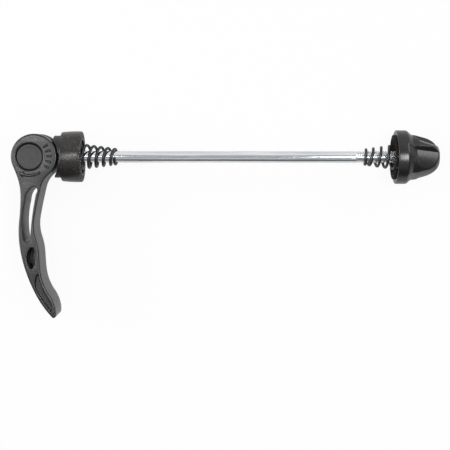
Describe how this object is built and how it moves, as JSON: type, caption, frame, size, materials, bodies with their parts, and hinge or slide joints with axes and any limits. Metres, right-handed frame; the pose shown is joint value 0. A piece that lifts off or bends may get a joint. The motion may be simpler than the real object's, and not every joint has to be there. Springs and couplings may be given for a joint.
{
  "type": "quick release skewer",
  "caption": "Quick release skewer: a threaded rod with an eccentric cam lever, a clamping cap, conical springs and a fluted adjusting nut.",
  "frame": {"origin": "on the rod's axis, in the plane of the lever cap's clamping face", "axes": "+X along the rod towards the adjusting nut, the lever's arm towards -Y, +Z along the lever's pivot"},
  "size_m": [0.178, 0.0782, 0.0224],
  "materials": {
    "rod_zinc": "bright zinc plate",
    "barrel_steel": "matt black",
    "lever_paint": "satin black paint",
    "saddle_nylon": "moulded black nylon",
    "cap_paint": "satin black paint",
    "spring_steel": "black oxide",
    "core_steel": "black oxide",
    "ring_nylon": "natural nylon",
    "nut_plastic": "semi-gloss black"
  },
  "bodies": {
    "rod": {"skewer_rod": "rod_zinc", "pivot_barrel": "barrel_steel"},
    "lever": {"lever": "lever_paint"},
    "cap": {"lever_cap": "cap_paint", "cam_saddle": "saddle_nylon", "lever_spring": "spring_steel"},
    "nut_spring": {"nut_spring": "spring_steel"},
    "nut": {"nut_cover": "nut_plastic", "nut_core": "core_steel", "lock_ring": "ring_nylon"}
  },
  "joints": [
    {"name": "lever_swing", "type": "hinge", "parent": "rod", "child": "lever", "pos_m": [-0.021, 0, 0], "axis": [0, 0, -1], "range_deg": [0, 180]},
    {"name": "cap_travel", "type": "slide", "parent": "rod", "child": "cap", "axis": [-1, 0, 0], "range_m": [0, 0.0028]},
    {"name": "nut_travel", "type": "slide", "parent": "rod", "child": "nut_spring", "axis": [-1, 0, 0], "range_m": [-0.00161, 0.00641]},
    {"name": "nut_turn", "type": "hinge", "parent": "nut_spring", "child": "nut", "pos_m": [0.1393, 0, 0], "axis": [-1, 0, 0], "range_deg": [-720, 2880]}
  ],
  "couplings": [
    {"joint": "cap_travel", "follows": "lever_swing", "m_per_rad": 0.00088},
    {"joint": "nut_travel", "follows": "nut_turn", "m_per_rad": 0.00012732}
  ]
}
